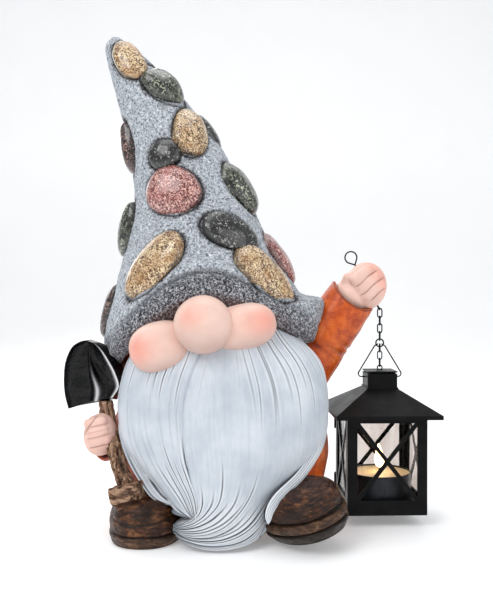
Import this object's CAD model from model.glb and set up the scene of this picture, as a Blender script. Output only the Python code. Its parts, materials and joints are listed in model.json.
# Looks of the garden gnome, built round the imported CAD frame.
# Lengths are written in millimetres and turned into metres where a mesh is made.
import json
import math

import bmesh
import bpy
import numpy as np
from mathutils import Matrix, Vector


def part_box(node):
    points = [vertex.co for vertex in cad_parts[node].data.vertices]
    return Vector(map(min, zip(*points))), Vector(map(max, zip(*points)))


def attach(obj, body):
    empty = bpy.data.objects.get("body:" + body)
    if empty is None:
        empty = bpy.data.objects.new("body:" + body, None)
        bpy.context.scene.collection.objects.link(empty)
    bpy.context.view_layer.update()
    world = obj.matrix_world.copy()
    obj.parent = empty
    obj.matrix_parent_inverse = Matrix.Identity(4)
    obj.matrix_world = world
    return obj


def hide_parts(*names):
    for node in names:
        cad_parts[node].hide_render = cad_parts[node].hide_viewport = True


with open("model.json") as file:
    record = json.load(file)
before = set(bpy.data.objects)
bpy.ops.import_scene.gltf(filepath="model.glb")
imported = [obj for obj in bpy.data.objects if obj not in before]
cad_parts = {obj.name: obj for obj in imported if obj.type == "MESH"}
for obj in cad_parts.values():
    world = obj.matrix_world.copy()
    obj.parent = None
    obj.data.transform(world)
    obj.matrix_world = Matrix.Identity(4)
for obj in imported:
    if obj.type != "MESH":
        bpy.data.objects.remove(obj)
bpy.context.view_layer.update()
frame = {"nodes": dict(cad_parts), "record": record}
MM = 0.001
SCENE = bpy.context.scene


# ---- Camera ----

camera = bpy.data.objects.new("Camera", bpy.data.cameras.new("Camera"))
SCENE.collection.objects.link(camera)
SCENE.camera = camera
camera.data.lens = 48
camera.data.sensor_width = 36
camera.location = (17 * MM, -500 * MM, 142 * MM)
camera.rotation_euler = (math.radians(90 - 0.72), 0, 0)


# ---- Number helpers ----

def curve_through(xs, ys):
    """A smooth function through the points (x, y), which run in rising x."""
    xs = np.asarray(xs, float)
    ys = np.asarray(ys, float)
    slopes = np.gradient(ys, xs)

    def value(x):
        x = np.clip(x, xs[0], xs[-1])
        k = np.clip(np.searchsorted(xs, x) - 1, 0, len(xs) - 2)
        step = xs[k + 1] - xs[k]
        t = (x - xs[k]) / step
        return (
            (1 + 2 * t) * (1 - t) ** 2 * ys[k]
            + t * (1 - t) ** 2 * step * slopes[k]
            + t * t * (3 - 2 * t) * ys[k + 1]
            - t * t * (1 - t) * step * slopes[k + 1]
        )

    return value


def path_through(points, t):
    """Points at shares t, from 0 to 1, of a smooth path through the given points."""
    points = np.asarray(points, float)
    at = np.linspace(0, 1, len(points))
    return np.stack([curve_through(at, points[:, k])(t) for k in range(points.shape[1])], axis=-1)


def ease(low, high, x):
    """0 below low, 1 above high, and a smooth step between."""
    t = np.clip((x - low) / (high - low), 0, 1)
    return t * t * (3 - 2 * t)


def bell(x, middle, width):
    return np.exp(-(((x - middle) / width) ** 2))


def lumps(points, size, seed=0):
    """Smooth noise from -1 to 1 whose lumps are about size apart."""
    q = np.asarray(points, float) / size + 31.7 * (seed + 1)
    cell = np.floor(q).astype(np.int64)
    f = q - cell
    f = f * f * (3 - 2 * f)
    total = np.zeros(q.shape[:-1])
    for corner in range(8):
        bits = np.array([corner & 1, corner >> 1 & 1, corner >> 2])
        c = cell + bits
        n = (c[..., 0] * 73856093) ^ (c[..., 1] * 19349663) ^ (c[..., 2] * 83492791)
        n = ((n ^ (n >> 13)) * 1274126177) & 0xFFFFFFFF
        total += np.prod(np.where(bits, f, 1 - f), axis=-1) * (((n ^ (n >> 16)) & 0xFFFF) / 32767.5 - 1)
    return total


def turn(points, axis, degrees):
    return np.asarray(points) @ np.array(Matrix.Rotation(math.radians(degrees), 3, axis)).T


def ring_angles(columns):
    """Even angles round a closed ring."""
    return np.linspace(0, 2 * np.pi, columns, endpoint=False)


def angle_from(angle, centre):
    """How far angle is past centre, from half a turn back to half a turn on."""
    return (angle - centre + np.pi) % (2 * np.pi) - np.pi


def unit(vectors):
    return vectors / (np.linalg.norm(vectors, axis=-1, keepdims=True) + 1e-9)


# ---- Materials ----

class Look:
    """A node material; add() makes a node, sets its values and links its inputs."""

    def __init__(self, name, **values):
        self.material = bpy.data.materials.new(name)
        self.material.use_nodes = True
        self.tree = self.material.node_tree
        self.shader = self.tree.nodes["Principled BSDF"]
        for socket, value in values.items():
            self.shader.inputs[socket.replace("_", " ")].default_value = value
        self.place = self.add("TexCoord").outputs["Object"]

    def add(self, kind, settings=None, **inputs):
        node = self.tree.nodes.new("ShaderNode" + kind)
        for key, value in (settings or {}).items():
            setattr(node, key, value)
        for key, value in inputs.items():
            self.feed(node, key, value)
        return node

    def feed(self, node, key, value):
        numbered = key[0] == "i" and key[1:].isdigit()
        socket = node.inputs[int(key[1:]) if numbered else key.replace("_", " ")]
        if isinstance(value, bpy.types.NodeSocket):
            self.tree.links.new(value, socket)
        else:
            socket.default_value = value

    def noise(self, size, detail=3.0, rough=0.55, warp=0.0, stretch=(1, 1, 1)):
        """Noise whose lumps are about size millimetres across; stretch squeezes them along each axis."""
        place = self.add("Mapping", Vector=self.place, Scale=stretch).outputs["Vector"]
        node = self.add("TexNoise", Vector=place, Scale=1 / (size * MM), Detail=detail, Roughness=rough,
                        Distortion=warp)
        return node.outputs["Fac"]

    def ramp(self, fac, *stops):
        """Colours or greys at rising places along fac."""
        node = self.add("ValToRGB", Fac=fac)
        band = node.color_ramp
        for k, (where, colour) in enumerate(stops):
            colour = (*colour, 1) if isinstance(colour, tuple) else (colour, colour, colour, 1)
            stop = band.elements[k] if k < 2 else band.elements.new(where)
            stop.position = where
            stop.color = colour
        return node.outputs["Color"]

    def mix(self, fac, a, b):
        node = self.add("Mix", {"data_type": "RGBA"})
        for key, value in ((0, fac), (6, a), (7, b)):
            if isinstance(value, tuple) and len(value) == 3:
                value = (*value, 1)
            self.feed(node, "i%d" % key, value)
        return node.outputs[2]

    def maths(self, operation, a, b=0.0, clamp=False):
        node = self.add("Math", {"operation": operation, "use_clamp": clamp}, i0=a, i1=b)
        return node.outputs[0]

    def mark(self, name):
        """A number painted on the mesh's points."""
        return self.add("Attribute", {"attribute_name": name}).outputs["Fac"]

    def bump(self, *layers):
        """Bump from (height, depth in millimetres) layers."""
        normal = None
        for height, depth in layers:
            node = self.add("Bump", Height=height, Distance=depth * MM, Strength=1.0)
            if normal:
                self.tree.links.new(normal, node.inputs["Normal"])
            normal = node.outputs["Normal"]
        self.tree.links.new(normal, self.shader.inputs["Normal"])

    def finish(self, colour, roughness=None):
        self.feed(self.shader, "Base_Color", colour)
        if roughness is not None:
            self.feed(self.shader, "Roughness", roughness)
        return self.material


def granite_look():
    look = Look("granite", Roughness=0.8, Specular_IOR_Level=0.25)
    grain = look.noise(1.25, 3, 0.7, 0.6)
    flecks = look.noise(0.8, 2, 0.7)
    soft = look.noise(16, 2)
    light = look.ramp(grain, (0.36, (0.07, 0.08, 0.09)), (0.43, (0.31, 0.335, 0.37)),
                      (0.56, (0.50, 0.54, 0.59)), (0.70, (0.90, 0.92, 0.95)))
    dark = look.ramp(grain, (0.40, (0.004, 0.004, 0.006)), (0.5, (0.09, 0.09, 0.10)),
                     (0.64, (0.55, 0.55, 0.58)))
    wash = look.maths("MULTIPLY", look.mark("wash"), look.ramp(soft, (0.2, 0.8), (0.6, 1.0)), True)
    colour = look.mix(wash, light, dark)
    colour = look.mix(look.ramp(flecks, (0.62, 0.0), (0.7, 0.5)), colour, (0.03, 0.032, 0.038))
    colour = look.mix(look.mark("warm"), colour, (0.09, 0.035, 0.03))
    colour = look.mix(look.mark("crease"), colour, (0.008, 0.006, 0.006))
    look.bump((grain, 0.5), (flecks, 0.25))
    return look.finish(colour)


def pebble_look(name, pale, mid, dark, size, net):
    """A glazed river stone: pale blots in a dark net of squiggles, and a darker rim."""
    look = Look(name, Roughness=0.24, Specular_IOR_Level=0.5, Coat_Weight=0.8, Coat_Roughness=0.08)
    swirl = look.noise(size, 2, 0.5, 1.0)
    veins = look.maths("ABSOLUTE", look.maths("SUBTRACT", swirl, 0.5))
    blots = look.noise(size * 1.6, 2.5, 0.6, 0.8)
    tint = look.noise(size * 5, 2)
    lines = look.ramp(veins, (net, dark), (net + 0.02, mid), (net + 0.05, pale))
    colour = look.mix(look.ramp(blots, (0.33, 0.8), (0.44, 0.0)), lines, dark)
    colour = look.mix(look.ramp(tint, (0.45, 0.0), (0.7, 0.6)), colour, mid)
    colour = look.mix(look.mark("rim"), colour, tuple(c * 0.2 for c in dark))
    look.bump((veins, 0.5), (blots, 0.2))
    return look.finish(colour, look.ramp(blots, (0.35, 0.4), (0.6, 0.18)))


def skin_look():
    look = Look("skin", Roughness=0.45, Specular_IOR_Level=0.35, Subsurface_Weight=0.1)
    look.shader.inputs["Subsurface Radius"].default_value = (0.004, 0.0016, 0.001)
    soft = look.noise(14, 3)
    fine = look.noise(1.2, 3)
    colour = look.ramp(soft, (0.3, (0.77, 0.52, 0.44)), (0.7, (0.86, 0.62, 0.53)))
    colour = look.mix(look.mark("blush"), colour, (0.84, 0.24, 0.17))
    colour = look.mix(look.mark("shade"), colour, (0.40, 0.27, 0.24))
    colour = look.mix(look.mark("groove"), colour, (0.22, 0.07, 0.05))
    look.bump((fine, 0.05))
    return look.finish(colour, look.ramp(soft, (0.3, 0.5), (0.7, 0.38)))


def beard_look():
    look = Look("beard", Roughness=0.45, Specular_IOR_Level=0.35)
    soft = look.noise(20, 3)
    brush = look.noise(2.2, 3, 0.6, 0.4, (1.0, 1.0, 0.12))
    colour = look.ramp(soft, (0.3, (0.48, 0.53, 0.59)), (0.7, (0.66, 0.70, 0.75)))
    colour = look.mix(look.ramp(brush, (0.35, 0.18), (0.6, 0.0)), colour, (0.34, 0.40, 0.47))
    colour = look.mix(look.mark("ridge"), colour, (0.88, 0.90, 0.93))
    colour = look.mix(look.mark("groove"), colour, (0.05, 0.065, 0.085))
    look.bump((brush, 0.12))
    return look.finish(colour)


def coat_look():
    look = Look("coat", Roughness=0.4, Specular_IOR_Level=0.4)
    blots = look.noise(7, 4, 0.65)
    flecks = look.noise(1.4, 3, 0.7)
    colour = look.ramp(blots, (0.3, (0.30, 0.028, 0.002)), (0.5, (0.54, 0.080, 0.005)),
                       (0.7, (0.70, 0.145, 0.014)))
    colour = look.mix(look.ramp(flecks, (0.6, 0.0), (0.72, 0.5)), colour, (0.80, 0.27, 0.08))
    colour = look.mix(look.mark("groove"), colour, (0.07, 0.006, 0.003))
    look.bump((blots, 0.3), (flecks, 0.1))
    return look.finish(colour, look.ramp(blots, (0.3, 0.5), (0.7, 0.33)))


def boot_look(name, dark, mid, bright):
    """Dark glaze with a lighter metallic colour brushed over its raised grain."""
    look = Look(name, Roughness=0.3, Specular_IOR_Level=0.26)
    grain = look.noise(2.3, 4, 0.68, 0.6, (0.4, 0.4, 1.2))
    blots = look.noise(13, 3)
    brushed = look.ramp(grain, (0.38, dark), (0.54, mid), (0.74, bright))
    colour = look.mix(look.ramp(blots, (0.35, 0.75), (0.6, 0.0)), brushed, dark)
    colour = look.mix(look.mark("groove"), colour, (0.004, 0.002, 0.001))
    look.bump((grain, 0.35))
    return look.finish(colour, look.ramp(grain, (0.35, 0.5), (0.7, 0.27)))


def trowel_look():
    look = Look("trowel_metal_look", Roughness=0.2, Specular_IOR_Level=0.22, Coat_Weight=0.12,
                Coat_Roughness=0.1)
    grain = look.noise(1.6, 4, 0.7)
    colour = look.ramp(grain, (0.6, (0.002, 0.002, 0.0025)), (0.7, (0.012, 0.012, 0.013)),
                       (0.8, (0.16, 0.16, 0.17)))
    colour = look.mix(look.mark("ridge"), colour, (0.86, 0.86, 0.88))
    look.bump((grain, 0.22))
    return look.finish(colour, look.ramp(grain, (0.4, 0.18), (0.7, 0.4)))


def wood_look(name, stretch):
    look = Look(name, Roughness=0.6, Specular_IOR_Level=0.25)
    grain = look.noise(2.6, 4, 0.65, 0.8, stretch)
    colour = look.ramp(grain, (0.38, (0.03, 0.012, 0.006)), (0.47, (0.19, 0.095, 0.052)),
                       (0.62, (0.45, 0.29, 0.19)))
    colour = look.mix(look.mark("groove"), colour, (0.015, 0.005, 0.003))
    look.bump((grain, 0.6))
    return look.finish(colour)


def black_metal_look():
    look = Look("black_metal", Roughness=0.3, Specular_IOR_Level=0.09)
    grain = look.noise(0.9, 3)
    blots = look.noise(11, 3)
    colour = look.ramp(blots, (0.35, (0.003, 0.003, 0.0035)), (0.7, (0.007, 0.007, 0.007)))
    look.bump((grain, 0.05), (blots, 0.12))
    return look.finish(colour, look.ramp(blots, (0.3, 0.42), (0.7, 0.28)))


def glass_look():
    look = Look("glass", Roughness=0.02, Transmission_Weight=1.0, IOR=1.1)
    streaks = look.noise(9, 3, 0.6, 0.5, (1, 1, 0.18))
    colour = look.ramp(streaks, (0.35, (0.70, 0.64, 0.61)), (0.7, (0.88, 0.86, 0.84)))
    look.bump((streaks, 0.25))
    return look.finish(colour, look.ramp(streaks, (0.4, 0.0), (0.75, 0.06)))


def cup_look():
    look = Look("tealight_cup", Metallic=0.6, Roughness=0.3)
    grain = look.noise(6, 3, 0.6, 0.3, (1, 1, 0.25))
    look.bump((grain, 0.12))
    colour = look.ramp(grain, (0.3, (0.012, 0.018, 0.025)), (0.7, (0.045, 0.06, 0.08)))
    return look.finish(colour, look.ramp(grain, (0.3, 0.4), (0.7, 0.24)))


def wax_look():
    look = Look("wax", Roughness=0.38, Subsurface_Weight=0.5, Emission_Strength=0.3)
    look.shader.inputs["Subsurface Radius"].default_value = (0.008, 0.005, 0.002)
    look.shader.inputs["Emission Color"].default_value = (1.0, 0.76, 0.45, 1)
    soft = look.noise(8, 3)
    look.bump((soft, 0.3))
    return look.finish(look.ramp(soft, (0.3, (0.90, 0.74, 0.47)), (0.7, (0.94, 0.82, 0.58))))


def flame_look():
    look = Look("flame", Roughness=1.0, Emission_Strength=14.0)
    soft = look.noise(9, 1)
    colour = look.ramp(soft, (0.3, (1.0, 0.62, 0.26)), (0.7, (1.0, 0.78, 0.46)))
    look.feed(look.shader, "Emission_Color", colour)
    return look.finish(colour)


def floor_look():
    look = Look("floor", Roughness=0.6, Emission_Strength=0.22)
    look.shader.inputs["Emission Color"].default_value = (1, 1, 1, 1)
    soft = look.noise(60, 2)
    return look.finish(look.ramp(soft, (0.3, (0.86, 0.865, 0.87)), (0.7, (0.88, 0.885, 0.89))))


GRANITE = granite_look()
SKIN = skin_look()
BEARD = beard_look()
COAT = coat_look()
BOOT = boot_look("boot", (0.012, 0.0045, 0.002), (0.066, 0.023, 0.009), (0.29, 0.115, 0.042))
WELT = boot_look("welt", (0.022, 0.010, 0.005), (0.10, 0.048, 0.024), (0.32, 0.17, 0.09))
SOLE = boot_look("sole", (0.010, 0.006, 0.004), (0.026, 0.015, 0.009), (0.055, 0.035, 0.022))
TROWEL = trowel_look()
BARK = wood_look("bark", (1, 1, 0.22))
GRIP_WOOD = wood_look("grip_wood", (0.3, 1, 1))
METAL = black_metal_look()
GLASS = glass_look()
# Pale, middle and dark colours of each kind of pebble, size of its blots in millimetres, and width of its net
PEBBLE_GLAZES = {
    "tan": ((0.82, 0.63, 0.38), (0.38, 0.18, 0.055), (0.045, 0.017, 0.006), 1.8, 0.032),
    "green": ((0.42, 0.45, 0.33), (0.06, 0.07, 0.045), (0.004, 0.005, 0.003), 2.2, 0.08),
    "charcoal": ((0.40, 0.40, 0.38), (0.02, 0.02, 0.02), (0.002, 0.002, 0.002), 2.2, 0.115),
    "maroon": ((0.36, 0.22, 0.19), (0.08, 0.035, 0.03), (0.006, 0.003, 0.003), 2.0, 0.075),
    "rose": ((0.76, 0.44, 0.38), (0.34, 0.08, 0.07), (0.07, 0.009, 0.009), 1.7, 0.042),
}
PEBBLE_LOOKS = {kind: pebble_look("pebble_" + kind, *glaze) for kind, glaze in PEBBLE_GLAZES.items()}


# ---- Mesh helpers ----

def grid_faces(rows, columns, closed=True):
    """Quads between rows of points; a closed row joins its last point to its first."""
    i = np.arange(columns if closed else columns - 1)
    j = np.arange(rows - 1)[:, None]
    a = j * columns + i
    b = j * columns + (i + 1) % columns
    return np.stack([a, b, b + columns, a + columns], axis=-1).reshape(-1, 4).tolist()


def add_piece(name, points, faces, look, body, slot, nodes=(), marks=None):
    """Makes a smooth piece from points in millimetres and says what it rides on and stands for."""
    mesh = bpy.data.meshes.new(name)
    mesh.from_pydata((np.asarray(points, float).reshape(-1, 3) * MM).tolist(), [], faces)
    mesh.update()
    for mark, values in (marks or {}).items():
        mesh.attributes.new(mark, "FLOAT", "POINT").data.foreach_set("value", np.clip(values, 0, 1).ravel())
    mesh.polygons.foreach_set("use_smooth", [True] * len(mesh.polygons))
    mesh.materials.append(look)
    piece = bpy.data.objects.new(name, mesh)
    SCENE.collection.objects.link(piece)
    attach(piece, body)
    if nodes:
        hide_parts(*nodes)
    fix = bmesh.new()
    fix.from_mesh(mesh)
    bmesh.ops.recalc_face_normals(fix, faces=fix.faces)
    fix.to_mesh(mesh)
    fix.free()
    return piece


def ring_piece(name, rings, *rest, **more):
    """A closed piece from an array of rings of points, with a flat cap at each end."""
    rows, columns = rings.shape[:2]
    faces = grid_faces(rows, columns)
    faces.append(list(range(columns))[::-1])
    faces.append(list(range((rows - 1) * columns, rows * columns)))
    return add_piece(name, rings, faces, *rest, **more)


def outward(rings):
    """Unit vectors square to a closed grid of rings, pointing out of it."""
    around = np.roll(rings, -1, axis=1) - np.roll(rings, 1, axis=1)
    along = np.gradient(rings, axis=0)
    square = unit(np.cross(around, along))
    middle = rings.mean(axis=1, keepdims=True)
    if np.sum(square * (rings - middle)) < 0:
        square = -square
    return square


def ball(subdivisions=5):
    """Points and faces of an even ball of radius 1."""
    made = bmesh.new()
    bmesh.ops.create_icosphere(made, subdivisions=subdivisions, radius=1)
    points = np.array([v.co for v in made.verts])
    faces = [[v.index for v in f.verts] for f in made.faces]
    made.free()
    return points, faces


def cad_points(node):
    """Every point of a CAD node's mesh, in millimetres."""
    mesh = frame["nodes"][node].data
    flat = np.zeros(len(mesh.vertices) * 3, np.float32)
    mesh.vertices.foreach_get("co", flat)
    return flat.reshape(-1, 3).astype(float) / MM


def islands(node):
    """The separate solids of a CAD node, as arrays of points."""
    solid = bmesh.new()
    solid.from_mesh(frame["nodes"][node].data)
    bmesh.ops.remove_doubles(solid, verts=solid.verts, dist=1e-6)
    left = set(solid.verts)
    found = []
    while left:
        stack = [left.pop()]
        group = []
        while stack:
            v = stack.pop()
            group.append(v.co[:])
            for edge in v.link_edges:
                other = edge.other_vert(v)
                if other in left:
                    left.remove(other)
                    stack.append(other)
        found.append(np.array(group) / MM)
    solid.free()
    return sorted(found, key=lambda g: -g[:, 2].max())


def egg_frame(points):
    """Middle, axes (shortest first) and half lengths of an egg-shaped cloud of points."""
    middle = (points.min(axis=0) + points.max(axis=0)) / 2
    _, axes = np.linalg.eigh(np.cov((points - points.mean(axis=0)).T))
    local = (points - middle) @ axes
    middle = middle + axes @ ((local.max(axis=0) + local.min(axis=0)) / 2)
    half = (local.max(axis=0) - local.min(axis=0)) / 2
    return middle, axes, half


# ---- Hat ----

HAT = np.array([
    [84, -3, 66], [100, -3, 67], [117, -3.3, 67], [142, -8.3, 56.5], [167, -12, 46], [198, -17, 36],
    [230, -27.7, 29], [261, -42.7, 21], [286, -57.7, 12.5], [296, -63.5, 7], [300, -65.2, 2.5]])
hat_middle = curve_through(HAT[:, 0], HAT[:, 1])
hat_radius = curve_through(HAT[:, 0], HAT[:, 2])
HAT_TOP = 300
HAT_DEPTH = 0.94
PEBBLE_EGGS = [egg_frame(cad_points("pebble_%02d" % k)) for k in range(1, 15)]
PEBBLE_EGGS += [egg_frame(group) for group in islands("back_pebbles")]


def brim_height(angle):
    """Height of the brim's lower edge round the hat; the arch is at the front."""
    return 99 + 6 * np.cos(angle) + 35 * np.maximum(0, -np.sin(angle)) ** 2.1


def hat_points(angle, z, inset=0.0):
    r = np.maximum(1.2, hat_radius(z) - inset)
    y = 4 * np.maximum(0, z - 117) / 183
    return np.stack([hat_middle(z) + r * np.cos(angle), y + r * HAT_DEPTH * np.sin(angle), z], axis=-1)


def pebble_gap(points):
    """How far each point is outside the rim of its nearest pebble, in millimetres."""
    nearest = np.full(points.shape[:-1], 9.0)
    gap = np.full(points.shape[:-1], 99.0)
    for middle, axes, half in PEBBLE_EGGS:
        local = (points - middle) @ axes
        far = np.hypot(local[..., 1] / half[1], local[..., 2] / half[2])
        far = np.where(np.abs(local[..., 0]) < 4 * half[0], far, 9)
        size = np.sqrt(half[1] * half[2])
        gap = np.where(far < nearest, (far - 1) * size, gap)
        nearest = np.minimum(nearest, far)
    return gap


def make_hat():
    columns, rows = 400, 250
    angle = ring_angles(columns)[None, :]
    share = np.linspace(0, 1, rows)[:, None] ** 1.05
    low = brim_height(angle)
    z = low + (HAT_TOP - low) * share
    skin = hat_points(angle + 0 * z, z)
    out = outward(skin)
    above = z - low
    front = np.maximum(0, -np.sin(angle)) + 0 * z
    band = 13 + 6 * front
    crease_line = bell(above, band - 1.0, 1.3) * (0.15 + 0.85 * ease(0.25, 0.75, front))
    roll = 1.2 * bell(above, band + 3, 3.2) * front - 1.3 * crease_line - 4.5 * ease(6, 0, above) ** 2
    gap = pebble_gap(skin)
    moat = bell(gap, -0.3, 0.9)
    push = 0.9 * lumps(skin, 13, 1) + 0.35 * lumps(skin, 4.5, 2) + 0.22 * lumps(skin, 1.6, 3)
    side = angle_from(angle, -0.15)
    push += (10.5 * bell(z, 130, 6.5) - 5.5 * bell(z, 107, 10)) * bell(side, 0, 0.42)
    fade = ease(0, 0.03, 1 - share)
    skin = skin + out * ((push + roll - 1.0 * moat) * fade)[..., None]
    inside_rows = 14
    inner_share = np.linspace(1, 0, inside_rows)[:, None]
    inner = hat_points(angle + 0 * inner_share, low + 45 * inner_share, 7)
    lip_rows = 5
    lip_turn = np.linspace(0, 1, lip_rows + 2)[1:-1, None, None]
    lip = inner[-1] * (1 - lip_turn) + skin[0] * lip_turn
    lip[..., 2] -= 1.6 * np.sin(lip_turn[..., 0] * np.pi)
    rings = np.concatenate([inner, lip, skin])
    wash = ease(band + 3, band - 5, above) * (0.65 + 0.35 * front)
    wash = np.maximum(wash, 0.8 * bell(gap, 0.5, 1.6))
    wash = np.maximum(wash, 0.4 * ease(0.25, -0.2, lumps(skin, 22, 6)) * ease(170, 110, z))
    crease = 0.6 * crease_line * front + 0.9 * bell(gap, 0.1, 0.75) + 0.25 * ease(3.5, 0, above)
    warm = 0.55 * ease(8, 2, above) * front ** 2
    marks = {name: np.concatenate([np.full((inside_rows + lip_rows, columns), hidden), values])
             for name, hidden, values in (("wash", 1.0, wash), ("crease", 0.4, crease), ("warm", 0.5, warm))}
    ring_piece("hat_skin", rings, GRANITE, "figure", "stone_hat", ["hat"], marks=marks)


PEBBLE_KINDS = ["tan", "green", "tan", "charcoal", "maroon", "charcoal", "rose", "green", "green",
                "charcoal", "tan",
                "tan", "rose", "maroon", "green", "tan", "rose", "tan", "green", "charcoal", "maroon",
                "tan", "green"]


# Thickness, width and length of a pebble as shares of its plain egg, where it differs from the rest
PLUMP = {2: (1.6, 1.02, 0.82), 4: (1.3, 1.05, 1), 5: (1.9, 1, 1), 8: (1.7, 1, 1), 9: (1.9, 1, 1),
         13: (1.5, 1, 1), 14: (1.7, 1, 1)}


def make_pebble(k, egg, kind, node):
    """A river pebble: an egg with a wider end, flats and dents of its own."""
    points, faces = ball(5)
    middle, axes, half = egg
    axes = axes.copy()
    if axes[:, 0] @ np.array([middle[0] - hat_middle(middle[2]), middle[1], 0]) < 0:
        axes[:, 0] = -axes[:, 0]
    p = np.sign(points) * np.abs(points) ** 0.9
    wide_end = 0.1 * (-1) ** k
    p[:, 1] *= 1 + wide_end * p[:, 2]
    dents = 0.07 * lumps(points * 10, 9, k) + 0.035 * lumps(points * 10, 4.5, k + 40)
    p *= (0.98 + dents)[:, None]
    half = half * np.array(PLUMP.get(k, (1.4, 1, 1)))
    place = middle + (p * half) @ axes.T
    rim = ease(0.52, 0.12, p[:, 0]) * (0.55 + 0.45 * lumps(points * 10, 5, k + 9))
    add_piece("pebble_stone_%02d" % k, place, faces, PEBBLE_LOOKS[kind], "figure", "pebble_" + kind, [node],
              marks={"rim": rim})


# ---- Face and beard ----

HEAD_LEAN = 13.6


def make_nose():
    points, faces = ball(5)
    middle, _, half = egg_frame(cad_points("nose"))
    place = middle + points * half * (1 + 0.012 * lumps(points * 10, 9, 3))[:, None]
    spot = np.linalg.norm(points - np.array([-0.42, -0.82, 0.38]), axis=1)
    add_piece("nose_ball", place, faces, SKIN, "figure", "skin", ["nose"],
              marks={"blush": 0.4 * ease(0.75, 0.0, spot), "shade": 0.55 * ease(0.2, -0.9, points[:, 2])})


def make_cheek(name, node, side, half):
    """A blunt egg that leans with the head, with a blush at its outer end."""
    points, faces = ball(5)
    middle, _, _ = egg_frame(cad_points(node))
    p = np.sign(points) * np.abs(points) ** 0.88
    waves = (1 + 0.01 * lumps(points * 10, 8, 4 + side))[:, None]
    place = middle + turn(p * np.array(half), "Y", -HEAD_LEAN) * waves
    spot = np.linalg.norm(points - np.array([0.62 * side, -0.68, 0.1]), axis=1)
    add_piece(name, place, faces, SKIN, "figure", "skin", [node],
              marks={"blush": 0.6 * ease(0.95, 0.0, spot), "shade": 0.5 * ease(0.1, -0.9, points[:, 2])})


# Height, middle, half-width, front and back of the beard's mass, from the ground up
MASS = np.array([
    [-2, 3, 13, -69, -50], [4, 2, 21, -73, -46], [12, 1.5, 25.5, -74, -42], [22, 2, 27, -73, -36],
    [32, 2, 37, -73, -20], [42, 3, 49, -72, -8], [55, 3.5, 58, -71, -3], [70, 3.5, 61, -69, -2],
    [88, 4, 60, -66, -2], [104, 4, 54, -62, -5], [116, 2, 42, -56, -8], [126, 0, 30, -50, -10]])
mass_middle, mass_half, mass_front, mass_back = (curve_through(MASS[:, 0], MASS[:, k]) for k in range(1, 5))

# Strand lines of the beard as seen from the front, from under the face to their tips: (sideways, height)
LEFT_STRANDS = [
    [(-50, 104), (-55.2, 86.6), (-56.8, 73.1), (-56.7, 59.6), (-52, 45.3),
     (-44.5, 34.2), (-35.6, 25.3), (-24.3, 21.6), (-13, 19)],
    [(-28.8, 112), (-36.1, 92.5), (-37.9, 76.5), (-36.7, 63), (-31.6, 49.8),
     (-25.4, 38.3), (-19.6, 29.7), (-15, 23), (-11.5, 18.5)],
    [(-5, 116), (-13.6, 93.3), (-17.0, 77.3), (-16.6, 64.1), (-15.0, 50.8),
     (-12, 39.3), (-9.2, 29.9), (-8.6, 22.5), (-9.4, 17.5)]]
RIGHT_STRANDS = [
    [(-6.5, 116), (-17.3, 85.3), (-18.7, 64.1), (-16, 45.5), (-11.6, 31),
     (-10.4, 23.5), (-12.9, 19), (-17.6, 16.2), (-22.4, 13.1)],
    [(4.6, 116), (3.8, 85.3), (4.9, 64.1), (6, 45.5), (3.9, 29.9),
     (-2.3, 21.2), (-9.2, 16.2), (-15.5, 13.5), (-23.2, 11.2)],
    [(16.2, 118), (26, 90.5), (28.6, 66.4), (27, 45), (21, 28.8),
     (11.4, 17.5), (0.3, 11.4), (-10.8, 9.3), (-23.2, 9.2)],
    [(31.3, 121), (48.4, 94.8), (52.2, 67.1), (47.5, 44.1), (35.6, 27),
     (25.3, 14.2), (12.5, 6.6), (-4.4, 4.9), (-22.4, 7.2)],
    [(42.4, 121), (60.8, 96.8), (64.4, 72.4), (60.6, 49.6),
     (46, 32.3), (31, 19.4), (26.4, 7), (2.5, 1.2), (-20, 4.2)]]


def strand_sheet(strands, columns, rows):
    """Front-view points of a sheet of strands, rows along the strands."""
    t = np.linspace(0, 1, rows)
    lines = np.stack([path_through(s, t) for s in strands])
    share = np.linspace(0, 1, columns)
    x = np.stack([curve_through(np.linspace(0, 1, len(strands)), lines[:, r, 0])(share) for r in range(rows)])
    z = np.stack([curve_through(np.linspace(0, 1, len(strands)), lines[:, r, 1])(share) for r in range(rows)])
    return x, z, t, share


def beard_depth(x, z):
    """Front of the beard's mass at a point seen from the front."""
    middle_y = (mass_front(z) + mass_back(z)) / 2
    half_y = (mass_back(z) - mass_front(z)) / 2
    off = np.clip((x - mass_middle(z)) / mass_half(z), -1, 1)
    return middle_y - half_y * np.sqrt(1 - off * off * 0.995)


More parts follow.
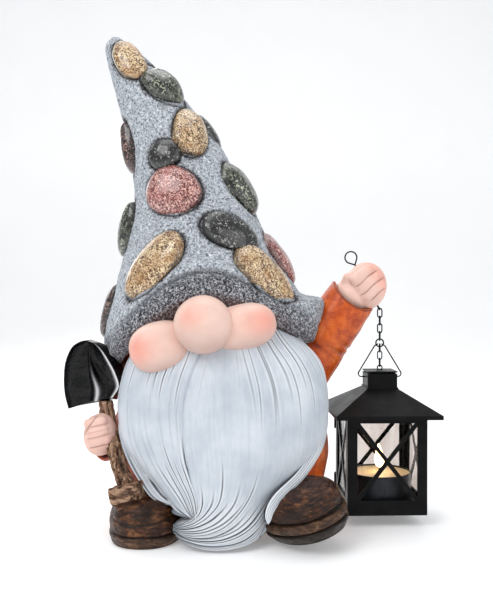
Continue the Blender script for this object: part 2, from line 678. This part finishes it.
def carve(x, t, width, rng, deep, fine, calm):
    """Grooves along the strands: long ones fade from the top and the tips, fine ones run all the way.
    calm smooths the sheet's upper middle.
    Returns depth in millimetres and how dark the groove is."""
    share = np.linspace(0, 1, x.shape[1])[None, :]
    along = t[:, None]
    depth = np.zeros_like(x)
    dark = np.zeros_like(x)
    light = np.zeros_like(x)
    for k in range(deep):
        centre = (k + 0.5 + rng.uniform(-0.32, 0.32)) / deep
        sway = 0.012 * np.sin(along * rng.uniform(4, 9) + rng.uniform(0, 6))
        broad = rng.uniform(0.75, 1.25)
        top_end = rng.uniform(0.15, 0.3)
        tip_start = rng.uniform(0.3, 0.54)
        top = ease(top_end, top_end - 0.16, along) * rng.choice([0.0, 0.6, 0.9], p=[0.3, 0.4, 0.3])
        tip = ease(tip_start, tip_start + 0.16, along) * rng.choice([0.0, 0.8, 1.0], p=[0.1, 0.3, 0.6])
        top = top * (1 - calm * bell(centre, 0.22, 0.2))
        off = (share - centre - sway) * width
        reach = np.clip(width / deep * 0.13, 0.42, 0.6) * broad * (0.8 + 0.2 * ease(0.3, 0.5, along))
        strength = np.maximum(top, tip)
        groove = bell(off, 0, reach) * strength
        ridge = (bell(off, 1.7 * reach, reach) + bell(off, -1.7 * reach, reach)) * strength
        depth += 1.7 * reach * groove - 0.4 * reach * ridge
        dark = np.maximum(dark, 0.95 * groove)
        light = np.maximum(light, ridge * 0.9)
    for k in range(fine):
        centre = (k + 0.5 + rng.uniform(-0.4, 0.4)) / fine
        start = rng.uniform(0, 0.75)
        strength = bell(along, start, rng.uniform(0.1, 0.3)) + 0.7 * ease(0.6, 0.9, along)
        off = (share - centre) * width
        reach = np.clip(width / fine * 0.22, 0.18, 0.4)
        strength = np.clip(strength, 0, 1) * (1 - 0.75 * calm * ease(0.75, 0.5, along))
        groove = bell(off, 0, reach) * strength
        depth += 0.5 * reach * groove
        dark = np.maximum(dark, 0.28 * groove)
    return depth, dark, light


def make_beard_half(name, strands, columns, rows, seed, deep, fine, calm, wrap_left, wrap_right):
    """A sheet of strands over the beard's mass; its edges curl back round the mass or under a neighbour."""
    rng = np.random.default_rng(seed)
    x, z, t, share = strand_sheet(strands, columns, rows)
    width = np.abs(np.hypot(np.diff(x, axis=1), np.diff(z, axis=1))).sum(axis=1)[:, None]
    y = beard_depth(x, z)
    swell = 0.7 * lumps(np.stack([x, z, 0 * x], axis=-1), 15, seed)
    depth, dark, light = carve(x, t, width, rng, deep, fine, calm)
    edge = 0 * x
    for wrap, where in ((wrap_left, share), (wrap_right, 1 - share)):
        if wrap == "tuck":
            edge += 1.6 * ease(2.2, 0.0, where[None, :] * width)
    front = np.stack([x, y, z], axis=-1)
    along = np.gradient(front, axis=0)
    side = np.gradient(front, axis=1)
    out = unit(np.cross(along, side))
    out[out[..., 1] > 0] *= -1
    front = front + out * (swell - depth - edge)[..., None]
    left = wrap_columns(front, wrap_left, True)
    right = wrap_columns(front, wrap_right, False)
    sheet = np.concatenate([left, front, right], axis=1)
    pad = ((0, 0), (left.shape[1], right.shape[1]))
    marks = {"groove": np.pad(dark, pad, mode="edge"), "ridge": np.pad(light * (1 - dark), pad, mode="edge")}
    tips = [sheet[-1]]
    for k in range(1, 7):
        bend = k / 6 * np.pi / 2
        step = sheet[-1] + np.array([-1.2 * np.sin(bend), 3.5 * (1 - np.cos(bend)), 0])
        tips.append(step)
    tips.append(tips[-1] + np.array([2.0, 14.0, 0]))
    sheet = np.concatenate([sheet, np.stack(tips[1:])])
    marks = {k: np.pad(v, ((0, 7), (0, 0)), mode="edge") for k, v in marks.items()}
    rows_all, columns_all = sheet.shape[:2]
    count = rows_all * columns_all
    faces = grid_faces(rows_all, columns_all, closed=False)
    rim = list(range(columns_all))
    rim += [r * columns_all + columns_all - 1 for r in range(1, rows_all)]
    rim += [(rows_all - 1) * columns_all + c for c in range(columns_all - 2, -1, -1)]
    rim += [r * columns_all for r in range(rows_all - 2, 0, -1)]
    deep_rim = sheet.reshape(-1, 3)[rim].copy()
    deep_rim[:, 1] = np.maximum(deep_rim[:, 1] + 4, -34)
    deep_rim[:, 0] = 3 + (deep_rim[:, 0] - 3) * 0.93
    n = len(rim)
    faces += [[rim[k], rim[(k + 1) % n], count + (k + 1) % n, count + k] for k in range(n)]
    faces.append([count + k for k in range(n)])
    points = np.concatenate([sheet.reshape(-1, 3), deep_rim])
    marks = {k: np.concatenate([v.ravel(), np.zeros(n)]) for k, v in marks.items()}
    return add_piece(name, points, faces, BEARD, "figure", "beard", ["beard"], marks=marks)


def wrap_columns(front, kind, at_left):
    """Extra columns beyond a sheet's edge: round the side of the mass, or tucked straight back."""
    edge = front[:, 0] if at_left else front[:, -1]
    made = []
    if kind == "side":
        z = edge[:, 2]
        middle_y = (mass_front(z) + mass_back(z)) / 2
        half_y = (mass_back(z) - mass_front(z)) / 2
        start = np.arccos(np.clip((middle_y - edge[:, 1]) / half_y, 0, 1))
        reach = np.abs(edge[:, 0] - mass_middle(z)) / np.sin(start)
        sign = np.sign(edge[:, 0] - mass_middle(z))
        for k in range(1, 17):
            bend = start + (math.radians(150) - start) * k / 16
            made.append(np.stack([
                mass_middle(z) + sign * reach * np.sin(bend), middle_y - half_y * np.cos(bend), z], axis=-1))
    else:
        for k in range(1, 5):
            step = np.zeros(3)
            step[1] = 1.6 * k * k / 2
            made.append(edge + step)
    if at_left:
        made = made[::-1]
    return np.stack(made, axis=1)


def make_side_lock():
    """A flat tapered lock that curls from the beard's side over the raised boot."""
    path = np.array([(62, -36, 66), (57.5, -47, 52), (47, -57, 39), (34.5, -67, 29.5), (29.5, -73, 23.5),
                     (28.5, -76.5, 17.5)])
    rows, columns = 110, 64
    t = np.linspace(0, 1, rows)
    middle = path_through(path, t)
    along = unit(np.gradient(middle, axis=0))
    facing = np.array([0.25, -1, 0.1])
    side = unit(np.cross(along, facing))
    up = np.cross(side, along)
    wide = curve_through([0, 0.2, 0.5, 0.8, 0.95, 1], [0.8, 2.2, 2.8, 2.3, 1.2, 0.2])(t)
    angle = ring_angles(columns)
    u = np.cos(angle)[None, :]
    lines = np.zeros((rows, columns))
    for k, where in enumerate((-0.6, -0.2, 0.25, 0.65)):
        lines += bell(u + 0.05 * np.sin(t * 7 + k)[:, None], where, 0.07)
    thick = wide[:, None] * 0.5 * np.sin(angle)[None, :] * (1 - 0.22 * lines * (np.sin(angle) > 0))
    across = (u * wide[:, None])[..., None] * side[:, None, :]
    rings = middle[:, None, :] + across + thick[..., None] * up[:, None, :]
    ring_piece("beard_side_lock", rings, BEARD, "figure", "beard", ["beard"],
               marks={"groove": 0.6 * lines * (np.sin(angle) > 0), "ridge": 0.5 * (1 - np.clip(lines, 0, 1))})


# ---- Coat, sleeves ----

COAT_SHAPE = np.array([[0, 51], [3, 54], [10, 58.6], [24, 65.3], [40, 68.8], [52, 68.2], [68, 64.3],
                       [82, 61.3],
                       [96, 60.2], [110, 57.5], [118, 50], [124, 36], [126, 22]])
coat_radius = curve_through(COAT_SHAPE[:, 0], COAT_SHAPE[:, 1])


def make_coat():
    columns, rows = 320, 150
    angle = ring_angles(columns)[None, :]
    z = 126 * np.linspace(0, 1, rows)[:, None] + 0 * angle
    r = coat_radius(z)
    folds = np.zeros_like(r)
    marks = np.zeros_like(r)
    rng = np.random.default_rng(5)
    for k in range(17):
        centre = math.radians(-20 + 220 * (k + rng.uniform(0.2, 0.8)) / 17)
        low, high = sorted(rng.uniform(2, 96, 2))
        high = max(high, low + 34)
        off = angle_from(angle, centre + 0.02 * np.sin(z / 14 + k))
        strength = ease(low - 8, low + 10, z) * ease(high + 10, high - 10, z)
        fold = bell(off * 62, 0, 2.6) * strength
        folds -= 1.5 * fold
        marks = np.maximum(marks, 0.75 * bell(off * 62, 0, 1.1) * strength)
    hem = bell(z, 7.5, 0.9)
    folds -= 0.9 * hem
    marks = np.maximum(marks, 0.7 * hem)
    marks = np.maximum(marks, 0.55 * ease(6, 0, z))
    r = r - 0.4 + folds
    points = np.stack([r * np.cos(angle), 2 + r * 0.86 * np.sin(angle), z], axis=-1)
    points += outward(points) * (0.35 * lumps(points, 9, 8) - 0.35)[..., None] * ease(0, 3, z)[..., None]
    ring_piece("coat_skin", points, COAT, "figure", "coat_glaze", ["coat", "base_plate"],
               marks={"groove": marks})


def sleeve(name, node, start, end, r1, r2, seed, cuff, dip):
    """A sleeve with soft creases and an open cuff with a rolled rim."""
    start, end = np.array(start, float), np.array(end, float)
    along = unit(end - start)
    side = unit(np.cross(along, [0, 1, 0]))
    up = np.cross(side, along)
    columns, rows = 140, 110
    angle = ring_angles(columns)[None, :]
    t = np.linspace(0, 1, rows)[:, None]
    length = np.linalg.norm(end - start)
    from_cuff = (1 - t) * length
    r = r1 + (r2 - r1) * t + 0 * angle
    marks = np.zeros_like(r)
    rng = np.random.default_rng(seed)
    for _ in range(6):
        centre = rng.uniform(0, 2 * np.pi)
        where = rng.uniform(6, length * 0.8)
        slant = rng.uniform(-2.5, 2.5)
        off = angle_from(angle, centre)
        crease = bell(from_cuff - where - slant * off, 0, 1.5) * bell(off, 0, 0.8)
        r -= 0.8 * crease
        marks = np.maximum(marks, 0.45 * crease)
    marks = np.maximum(marks, 0.8 * ease(1.2, 0, from_cuff))
    spokes = np.cos(angle)[..., None] * side + np.sin(angle)[..., None] * up
    near = np.maximum(0, -spokes[..., 1]) ** 1.3
    skin = start + along * (t * length - dip * near * ease(0.6, 1, t))[..., None]
    skin = skin + spokes * r[..., None]
    skin += spokes * (0.35 * lumps(skin, 7, seed))[..., None]
    rings = [skin]
    lip = [(0.7, 0.5), (1.6, 0.5), (2.4, -0.3), (2.9, -2.5), (3.2, -cuff)]
    for inward, forward in lip:
        rings.append((skin[-1] - spokes[0] * inward + along * forward)[None])
    dark = np.concatenate([marks] + [np.full((1, columns), v) for v in (0.1, 0.5, 0.95, 1.0, 1.0)])
    ring_piece(name, np.concatenate(rings), COAT, "figure", "coat_glaze", [node], marks={"groove": dark})


# ---- Hands ----

def capsule(start, end, r):
    """Points and faces of a rounded stick."""
    points, faces = ball(4)
    start, end = np.array(start, float), np.array(end, float)
    at_end = points @ unit(end - start) > 0
    return points * r + np.where(at_end[:, None], end, start), faces


def egg(middle, half, lean=(0, 0, 0)):
    points, faces = ball(4)
    place = points * np.array(half, float)
    for axis, degrees in zip("XYZ", lean):
        place = turn(place, axis, degrees)
    return place + np.array(middle, float), faces


RELAX_PASSES = 8


def melt(name, node, solids, voxel, paint):
    """Melts overlapping solids into one skin, relaxes it, and paints marks on it."""
    points, faces = [], []
    for p, f in solids:
        base = sum(len(q) for q in points)
        points.append(p)
        faces += [[base + v for v in face] for face in f]
    raw = bpy.data.meshes.new(name + "_raw")
    raw.from_pydata(np.concatenate(points).tolist(), [], faces)
    holder = bpy.data.objects.new(name + "_raw", raw)
    SCENE.collection.objects.link(holder)
    remesh = holder.modifiers.new("Remesh", "REMESH")
    remesh.mode = "VOXEL"
    remesh.voxel_size = voxel
    relax = holder.modifiers.new("Smooth", "SMOOTH")
    relax.iterations = RELAX_PASSES
    relax.factor = 0.5
    bpy.context.view_layer.update()
    done = bpy.data.meshes.new_from_object(holder.evaluated_get(bpy.context.evaluated_depsgraph_get()))
    bpy.data.objects.remove(holder)
    flat = np.zeros(len(done.vertices) * 3, np.float32)
    done.vertices.foreach_get("co", flat)
    place, marks = paint(flat.reshape(-1, 3).astype(float))
    polygons = [list(p.vertices) for p in done.polygons]
    add_piece(name, place, polygons, SKIN, "figure", "skin", [node], marks=marks)


def make_left_hand():
    """The fist that holds the hanger: a smooth ball with finger lines that slant up across it."""
    fist = np.array([91.4, -1.5, 144.4])
    lean = -38
    solids = [egg(fist, (12.8, 12.8, 14.9), (0, 4, 0)), egg((83, 0, 138), (12.2, 12, 9), (0, 34, 0))]
    solids.append(capsule(fist + [-12.4, -2, 1], fist + [-11, -3, 4.5], 4.0))
    for cut in (-7.5, -1.5, 4.5):
        knuckles = turn([[-4, -8.6, cut + 3], [6, -9.0, cut + 3]], "Y", lean)
        solids.append(capsule(fist + knuckles[0], fist + knuckles[1], 3.5))

    def paint(p):
        x, y, z = turn(p - fist, "Y", -lean).T
        groove = np.zeros(len(p))
        for cut, start, stop in ((-7.5, -4, 8), (-1.5, -7, 11), (4.5, -6, 10)):
            wave = cut + 0.4 * np.sin(x * 0.4)
            ends = ease(start - 2, start + 1, x) * ease(stop + 2, stop - 1, x)
            groove = np.maximum(groove, bell(z, wave, 0.36) * ease(-3, -6.0, y) * ends)
        p = p + np.outer(groove, [0, 0.8, 0])
        blush = 0.45 * ease(2, 10, (p - fist)[:, 0] + 0.6 * (p - fist)[:, 2]) + 0.1
        return p, {"groove": 0.6 * groove, "blush": 0.7 * blush}

    melt("left_fist", "left_hand", solids, 0.55, paint)


def make_right_hand():
    """The fist round the trowel's handle: a tall ball, nearly level finger lines, the thumb over its top."""
    fist = np.array([-69, -30, 57])
    lean = -13
    solids = [egg(fist, (9.8, 9.8, 12.6), (0, 8, 0)), egg((-70, -21, 52), (8.4, 9, 9))]
    solids.append(capsule(fist + [-6.0, -3, 3], fist + [-3.4, -4.6, 8.6], 3.0))
    for cut in (-5.5, 0.0, 5.5):
        knuckles = turn([[-4, -6.4, cut + 2.8], [4.2, -6.5, cut + 2.8]], "Y", lean)
        solids.append(capsule(fist + knuckles[0], fist + knuckles[1], 2.9))

    def paint(p):
        x, y, z = turn(p - fist, "Y", -lean).T
        groove = np.zeros(len(p))
        for cut, strength in ((-5.5, 1), (0.0, 0.8), (3.2, 0.5), (6.3, 0.7)):
            ends = ease(-7.5, -5, x) * ease(9, 6, x)
            groove = np.maximum(groove, strength * bell(z, cut, 0.42) * ease(-3.0, -5.5, y) * ends)
        thumb = bell(z - 0.9 * x, 10.0, 0.7) * ease(-2.0, -4.0, y) * ease(3, 0, x)
        groove = np.maximum(groove, thumb * ease(0, 3, z))
        p = p + np.outer(groove, [0, 0.7, 0])
        return p, {"groove": 0.55 * groove, "blush": 0.12 + 0 * groove}

    melt("right_fist", "right_hand", solids, 0.5, paint)


# ---- Boots ----

BOOT_W, BOOT_L = 41.0, 54.0
FOOT_SQUARE = 2.2


def boot_ring(angle, w, l, z):
    """A rounded, slightly square foot outline."""
    c, s = np.cos(angle), np.sin(angle)
    x = np.sign(c) * np.abs(c) ** (2 / FOOT_SQUARE) * w / 2
    y = np.sign(s) * np.abs(s) ** (2 / FOOT_SQUARE) * l / 2
    return np.stack([x, y, z + 0 * x], axis=-1)


def make_boot(side, place, sole_top, roll, height, sole_look, undercut, seed):
    """A fat boot: a puffed upper, over a rolled welt on the raised boot, on a thick sole."""
    columns = 220
    angle = ring_angles(columns)

    def stack(profile, rows):
        z, w, out = path_through(profile, np.linspace(0, 1, rows)).T
        return np.stack([boot_ring(angle, BOOT_W * a + 2 * b, BOOT_L * a + 2 * b, h) for h, a,
                         b in zip(z, w, out)])

    inset = -undercut
    under = [(0, 0.2, inset), (0.0, 0.9, inset), (0.25, 1, inset), (1.2, 1, inset * 0.75),
             (sole_top * 0.45, 1, inset * 0.4 + 0.5),
             (sole_top * 0.8, 1, 0.8), (sole_top - 0.3, 1, 0.2), (sole_top + 0.1, 1, -1.2),
             (sole_top + 0.3, 0.5, -1)]
    sole = stack(under, 46)
    rough = 0.4 * lumps(sole, 6, seed) + 0.25 * lumps(sole, 2.2, seed + 1)
    sole = sole + outward(sole) * (rough * ease(0.2, 1.5, sole[..., 2]))[..., None]
    sole_marks = 0.8 * bell(sole[..., 2], sole_top, 0.8) + 0.4 * ease(1.0, 0, sole[..., 2])
    base = sole_top + roll
    shape = [(sole_top - 0.5, 0.86, 0), (sole_top + 0.2, 0.97, 0.2)]
    if roll:
        shape += [(sole_top + 1.0, 1, 0.9), (sole_top + 0.5 * roll, 1.0, 1.5), (base - 1.2, 1.0, 0.9),
                  (base, 0.985, -0.7)]
    top = height - roll
    shape += [(base + 1.1, 0.99, 0.2), (base + 0.3 * top, 1.0, 0.6), (base + 0.55 * top, 0.98, 0.3),
              (base + 0.75 * top, 0.88, 0),
              (base + 0.89 * top, 0.7, 0), (base + 0.965 * top, 0.48, 0), (base + 0.99 * top, 0.25, 0),
              (base + top, 0.04, 0)]
    upper = stack(shape, 130)
    z = upper[..., 2]
    puff = 0.9 * lumps(upper, 15, seed + 2) + 0.4 * lumps(upper, 5, seed + 3) + 0.18 * lumps(upper, 1.8,
                                                                                             seed + 5)
    marks = 0.95 * bell(z, base, 0.8) if roll else 0 * z
    rng = np.random.default_rng(seed)
    creases = np.zeros_like(z)
    for k in range(9):
        where = base + 1.5 + (top - 3) * (k + rng.uniform(0, 0.8)) / 9
        centre = rng.uniform(0, 2 * np.pi)
        off = angle_from(angle[None, :], centre)
        wave = 0.7 * np.sin(angle[None, :] * 3 + k)
        creases = np.maximum(creases, bell(z, where + wave, 0.45) * bell(off, 0, 0.9))
    fade = ease(0, 2, z - sole_top) * ease(0, 0.06, (np.arange(len(z)) / len(z))[::-1])[:, None]
    upper = upper + outward(upper) * ((puff - 0.6 * creases) * fade)[..., None]
    marks = np.maximum(marks, 0.6 * creases)
    marks = np.maximum(marks, 0.8 * ease(1.2, 0, z - sole_top))
    sole_slot = "sole_dark" if sole_look is SOLE else "boot_leather_look"
    ring_piece(side + "_boot_sole_skin", place(sole), sole_look, "figure", sole_slot, [side + "_boot_sole"],
               marks={"groove": sole_marks})
    boot = ring_piece(side + "_boot_skin", place(upper), BOOT, "figure", "boot_leather_look",
                      [side + "_boot"],
                      marks={"groove": marks})
    boot.data.materials.append(WELT)
    welt_rows = int(np.argmax(z[:, 0] > base)) if roll else 0
    for polygon in boot.data.polygons:
        if polygon.index < welt_rows * columns:
            polygon.material_index = 1


def place_right_boot(points):
    return turn(points, "Z", -6) + np.array([-40, -39, 0])


TOE_TURN, SIDE_LIFT, TOE_DIP = 34, 19, 4


def place_left_boot(points):
    """Turned out, and rocked on to the inner rim of its sole."""
    rim = boot_ring(np.linspace(0, 2 * np.pi, 200), BOOT_W + 3, BOOT_L + 3, 0.0)
    tilted, rim = (turn(turn(turn(p, "Z", TOE_TURN), "Y", -SIDE_LIFT), "X", TOE_DIP) for p in (points, rim))
    return tilted + np.array([52, -53, 0.3 - rim[:, 2].min()])


# ---- Trowel ----

# From the blade's shoulders to its tip: (sideways, height) of its left edge, its folded rim and its outer wall
LEFT_EDGE = [(-88.9, 71.3), (-91.0, 80), (-91.6, 89), (-90.6, 99), (-87, 107.5), (-82, 111.2), (-77.8, 112)]
FOLDED_RIM = [(-61.5, 79), (-58, 85.5), (-60.3, 93), (-64.2, 100), (-68.6, 106.5), (-72.8, 110.4), (-77, 112)]
OUTER_WALL = [(-60.5, 76.5), (-56, 83), (-55.4, 91), (-57.6, 98.5), (-62.5, 105.5), (-69, 110),
              (-76.6, 111.7)]


def make_blade():
    """A pointed, dished blade with a folded rim, an outer wall beyond it and a raised middle rib."""
    rows = 100
    t = np.linspace(0, 1, rows)
    left, rim, wall = (path_through(curve, t)[:, None, :] for curve in (LEFT_EDGE, FOLDED_RIM, OUTER_WALL))
    u = np.linspace(0, 1, 70)[None, :, None]
    face = left * (1 - u) + rim * u
    u = u[..., 0]
    depth = -24.5 + 5.5 * np.sin(np.pi * u) ** 0.8 - 7.5 * u ** 2.2 * (1 - 0.5 * t[:, None])
    middle = 0.52 + 0.1 * ease(0.6, 0, t)[:, None]
    width = 0.022 + 0.11 * ease(0.62, 0, t)[:, None]
    rib = bell(u, middle, width) * ease(0.66, 0.3, t)[:, None] * 4.5
    depth = depth - rib - 0.8 * bell(u, 0, 0.05)
    face = np.concatenate([face, depth[..., None]], axis=-1)[..., [0, 2, 1]]
    v = np.linspace(0.08, 1, 14)[None, :, None]
    side = rim * (1 - v) + wall * v
    v = v[..., 0]
    side_depth = depth[:, -1:] + 9 * v ** 1.5 * (1 - 0.5 * t[:, None])
    side = np.concatenate([side, side_depth[..., None]], axis=-1)[..., [0, 2, 1]]
    back = np.concatenate([left * (1 - w) + wall * w for w in np.linspace(1, 0, 40)[1:-1, None, None]],
                          axis=1)
    w = np.linspace(1, 0, 40)[None, 1:-1]
    back_depth = -22 + 7.5 * np.sin(np.pi * w) + (side_depth[:, -1:] + 24) * w ** 4
    back = np.concatenate([back, back_depth[..., None]], axis=-1)[..., [0, 2, 1]]
    loop = np.concatenate([face, side, back], axis=1)
    loop[..., 1] += 0.25 * lumps(loop, 6, 12) + 0.1 * lumps(loop, 2, 13)
    rim_line = bell(u, 0.985, 0.036) * ease(0.98, 0.8, t)[:, None]
    rib_line = 0.75 * bell(u, middle - 0.02, width * 0.33) * ease(0.5, 0.08, t)[:, None]
    bright = np.zeros(loop.shape[:2])
    bright[:, :70] = rim_line + rib_line
    ring_piece("trowel_blade_skin", loop, TROWEL, "figure", "trowel_metal_look", ["trowel_blade"],
               marks={"ridge": bright})


def make_branch():
    """The trowel's crooked handle: a stub of branch with deep bark."""
    path = np.array([(-50.5, -46, 27), (-52.5, -44.5, 33), (-56.5, -40, 41), (-60, -34, 50),
                     (-62.5, -30, 57), (-65, -26.5, 66), (-67, -24, 76)])
    radius = [5.6, 5.0, 4.5, 5.0, 4.8, 4.5, 4.2]
    columns, rows = 90, 130
    t = np.linspace(0, 1, rows)
    middle = path_through(path, t)
    r = curve_through(np.linspace(0, 1, len(radius)), radius)(t)
    angle = ring_angles(columns)
    rings = middle[:, None, :] + np.stack(
        [np.outer(r, np.cos(angle)), np.outer(r, np.sin(angle)), np.zeros((rows, columns))], axis=-1)
    bark = np.stack([np.cos(angle) * 9 + 0 * r[:, None], np.sin(angle) * 9 + 0 * r[:, None],
                     middle[:, 2:3] * 0.22 + 0 * angle], axis=-1)
    ridges = lumps(bark, 2.6, 21)
    deep = ease(-0.05, -0.5, ridges)
    rings = rings + outward(rings) * (0.5 * ridges - 1.1 * deep + 0.3 * lumps(rings, 2.0, 22))[..., None]
    ring_piece("trowel_branch", rings, BARK, "figure", "trowel_wood_look", ["trowel_shaft"],
               marks={"groove": 0.75 * deep})


def make_grip():
    """A short cross-piece of split wood with worn corners."""
    columns, rows = 120, 80
    angle = ring_angles(columns)
    t = np.linspace(-1, 1, rows)
    inset = np.clip((np.abs(t) - 0.86) / 0.14, 0, 1)
    size = 1 - 0.3 * inset ** 2.4
    size[[0, -1]] = 0.05
    c, s = np.cos(angle), np.sin(angle)
    y = np.sign(c) * np.abs(c) ** 0.35 * 5.6
    z = np.sign(s) * np.abs(s) ** 0.35 * 5.6
    rings = np.stack([np.repeat(t[:, None] * 9.5, columns, 1), np.outer(size, y * 1.05),
                      np.outer(size, z * 0.9)], axis=-1)
    stretched = rings * np.array([0.25, 1, 1])
    ridges = lumps(stretched, 1.6, 31)
    deep = ease(-0.2, -0.65, ridges)
    out = outward(rings)
    rings[1:-1] += (out * (0.3 * ridges - 0.5 * deep)[..., None])[1:-1]
    place = turn(turn(rings, "Y", -16), "Z", -20) + np.array([-50.5, -48, 27])
    ring_piece("trowel_grip_skin", place, GRIP_WOOD, "figure", "trowel_wood_look", ["trowel_grip"],
               marks={"groove": 0.8 * deep})


# ---- Flame ----

def make_flame():
    """A small candle flame over the wick; it rides on the lantern."""
    low, high = (np.array(c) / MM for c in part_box("wick"))
    columns, rows = 40, 44
    t = np.linspace(0, 1, rows)
    r = 2.9 * np.sin(np.pi * t ** 0.62) ** 0.9 + 0.05
    angle = ring_angles(columns)
    x = (low[0] + high[0]) / 2 + np.outer(r, np.cos(angle)) - 0.6 * (t ** 2)[:, None]
    y = (low[1] + high[1]) / 2 + np.outer(r, np.sin(angle))
    z = np.repeat((high[2] - 1.0 + 15 * t)[:, None], columns, 1)
    ring_piece("flame", np.stack([x, y, z], axis=-1), flame_look(), "lantern", "wax")


# ---- Build ----

make_hat()
for k, (egg_at, kind) in enumerate(zip(PEBBLE_EGGS, PEBBLE_KINDS), 1):
    make_pebble(k, egg_at, kind, "pebble_%02d" % k if k <= 14 else "back_pebbles")
make_nose()
make_cheek("right_cheek_ball", "right_cheek", -1, (18, 15, 14.6))
make_cheek("left_cheek_ball", "left_cheek", 1, (20, 15, 13.4))
make_beard_half("beard_left", LEFT_STRANDS, 210, 230, 3, 10, 12, 0.3, "side", "tuck")
make_beard_half("beard_right", RIGHT_STRANDS, 440, 280, 7, 18, 26, 1, "tuck", "side")
make_side_lock()
make_coat()
sleeve("left_sleeve_skin", "left_sleeve", (51, -5, 92), (83.5, -1, 138.8), 17.5, 15.2, 41, 5, 7.5)
sleeve("right_sleeve_skin", "right_sleeve", (-48, 10, 54), (-71, -15, 49), 14, 11.5, 42, 4, 0)
make_left_hand()
make_right_hand()
make_boot("right", place_right_boot, 6.5, 0, 19, WELT, 1.0, 51)
make_boot("left", place_left_boot, 6.5, 6.5, 21, SOLE, 2.5, 61)
make_blade()
make_branch()
make_grip()
make_flame()

CAD_LOOKS = {"black_wire": METAL, "lantern_black": METAL, "glass": GLASS, "tealight_cup": cup_look(),
             "wax": wax_look(),
             "wick": boot_look("burnt_wick", (0.01, 0.008, 0.007), (0.03, 0.025, 0.02), (0.09, 0.07, 0.05))}
for row in frame["record"]["subparts"]:
    if row["material_slot"] in CAD_LOOKS:
        mesh = frame["nodes"][row["node"]].data
        mesh.materials.clear()
        mesh.materials.append(CAD_LOOKS[row["material_slot"]])


# ---- Floor, lights and world ----

def make_floor():
    half, back, rise, bend = 3.0, 1.6, 2.4, 0.5
    profile = [(-half, 0.0), (back - bend, 0.0)]
    for a in np.linspace(0, math.pi / 2, 14)[1:]:
        profile.append((back - bend + bend * math.sin(a), bend - bend * math.cos(a)))
    profile.append((back, rise))
    points = [(x, y, z) for y, z in profile for x in (-half, half)]
    mesh = bpy.data.meshes.new("floor")
    mesh.from_pydata(points, [], [[2 * k, 2 * k + 1, 2 * k + 3, 2 * k + 2] for k in range(len(profile) - 1)])
    mesh.polygons.foreach_set("use_smooth", [True] * len(mesh.polygons))
    mesh.materials.append(floor_look())
    floor = bpy.data.objects.new("floor", mesh)
    SCENE.collection.objects.link(floor)


LIT_SPOT = Vector((0.02, 0, 0.13))


def add_light(name, place, size, power):
    """A soft square lamp that faces the figure's middle."""
    data = bpy.data.lights.new(name, "AREA")
    data.size = size
    data.energy = power
    lamp = bpy.data.objects.new(name, data)
    lamp.location = place
    lamp.rotation_euler = (LIT_SPOT - Vector(place)).to_track_quat("-Z", "Y").to_euler()
    SCENE.collection.objects.link(lamp)


make_floor()
add_light("key", (-0.55, -0.75, 0.95), 0.7, 6.5)
add_light("fill", (0.85, -0.75, 0.5), 0.9, 3.2)
add_light("top", (0.0, 0.15, 1.3), 1.0, 6)
add_light("rim", (-0.5, 0.8, 0.7), 0.8, 4)
world = bpy.data.worlds.new("studio")
world.use_nodes = True
world.node_tree.nodes["Background"].inputs["Color"].default_value = (0.95, 0.97, 1.0, 1)
world.node_tree.nodes["Background"].inputs["Strength"].default_value = 0.5
SCENE.world = world
SCENE.view_settings.view_transform = "Standard"
